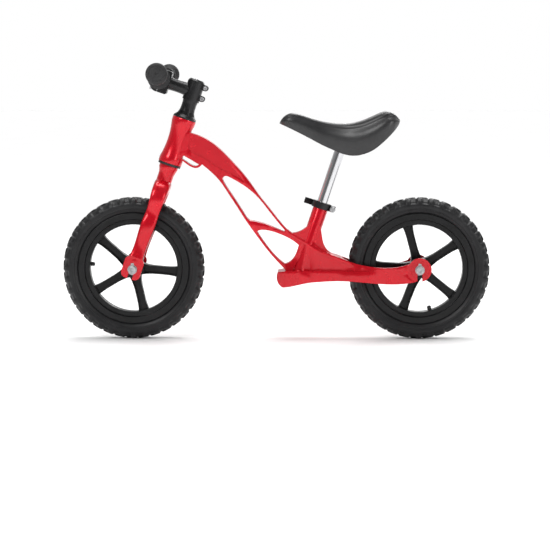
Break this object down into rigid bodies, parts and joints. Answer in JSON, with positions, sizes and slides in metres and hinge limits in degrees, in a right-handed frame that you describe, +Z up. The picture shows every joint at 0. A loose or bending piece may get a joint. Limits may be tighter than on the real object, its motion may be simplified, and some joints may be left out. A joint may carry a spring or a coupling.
{
  "type": "balance bike",
  "caption": "Pedal-less child's balance bike with a cast frame and fork, cast spoked wheels, turning handlebar and a height-adjustable saddle.",
  "frame": {"origin": "on the ground, midway between the wheel centres, in the middle plane", "axes": "+Z up, -X forward, -Y to the bike's left"},
  "size_m": [0.879, 0.4164, 0.5654],
  "materials": {
    "red_paint": "gloss",
    "tyre_rubber": "matte",
    "tube_rubber": "matte",
    "black_cast_wheel": "satin",
    "grip_rubber": "matte",
    "saddle_skin": "satin",
    "black_plastic": "matte",
    "chrome": "polished",
    "black_alloy": "satin black anodised",
    "silver_steel": "zinc plated"
  },
  "bodies": {
    "frame": {"main_frame": "red_paint", "headset_lower_bearing": "silver_steel", "headset_upper_bearing": "silver_steel", "seat_clamp_collar": "black_alloy", "seat_clamp_nut": "silver_steel", "seat_clamp_skewer": "silver_steel", "seat_clamp_washer": "silver_steel", "seat_lever_pin": "silver_steel", "rear_axle": "silver_steel", "rear_axle_sleeve": "silver_steel", "rear_hub_spacers": "silver_steel", "rear_axle_washers": "silver_steel", "rear_retention_tabs": "silver_steel", "rear_axle_bolts": "silver_steel", "rear_bearing_inner_races": "silver_steel"},
    "steering": {"fork": "red_paint", "steerer_tube": "silver_steel", "crown_race": "silver_steel", "headset_seal_ring": "black_plastic", "headset_compression_ring": "silver_steel", "headset_top_cover": "black_alloy", "stem_spacer": "black_alloy", "stem": "black_alloy", "stem_faceplate": "black_alloy", "stem_pinch_screws": "silver_steel", "stem_faceplate_screws": "silver_steel", "stem_top_cap": "black_alloy", "stem_cap_screw": "silver_steel", "steerer_star_nut": "silver_steel", "handlebar": "black_alloy", "left_grip": "grip_rubber", "right_grip": "grip_rubber", "front_axle": "silver_steel", "front_axle_sleeve": "silver_steel", "front_hub_spacers": "silver_steel", "front_axle_washers": "silver_steel", "front_retention_tabs": "silver_steel", "front_axle_bolts": "silver_steel", "front_bearing_inner_races": "silver_steel"},
    "front_wheel": {"front_rim": "black_cast_wheel", "front_tyre": "tyre_rubber", "front_inner_tube": "tube_rubber", "front_valve_cap": "black_plastic", "front_bearing_outer_races": "silver_steel", "front_bearing_balls": "silver_steel"},
    "rear_wheel": {"rear_rim": "black_cast_wheel", "rear_tyre": "tyre_rubber", "rear_inner_tube": "tube_rubber", "rear_valve_cap": "black_plastic", "rear_bearing_outer_races": "silver_steel", "rear_bearing_balls": "silver_steel"},
    "saddle": {"seat_post": "chrome", "saddle_bracket": "black_alloy", "saddle_base": "black_plastic", "saddle_screws": "silver_steel", "saddle_pad": "saddle_skin"},
    "seat_lever": {"seat_lever": "black_alloy"}
  },
  "joints": [
    {"name": "steering_turn", "type": "hinge", "parent": "frame", "child": "steering", "pos_m": [-0.20355, 0, 0.40694], "axis": [0.3173, 0, 0.9483], "range_deg": [-90, 90]},
    {"name": "front_wheel_spin", "type": "hinge", "parent": "steering", "child": "front_wheel", "pos_m": [-0.2935, 0, 0.146], "axis": [0, 1, 0], "continuous": true},
    {"name": "rear_wheel_spin", "type": "hinge", "parent": "frame", "child": "rear_wheel", "pos_m": [0.2935, 0, 0.146], "axis": [0, 1, 0], "continuous": true},
    {"name": "saddle_height", "type": "slide", "parent": "frame", "child": "saddle", "axis": [0.3173, 0, 0.9483], "range_m": [-0.08, 0.02]},
    {"name": "seat_lever_open", "type": "hinge", "parent": "frame", "child": "seat_lever", "pos_m": [0.11522, 0.017, 0.26685], "axis": [0.3173, 0, 0.9483], "range_deg": [-150, 0]}
  ]
}
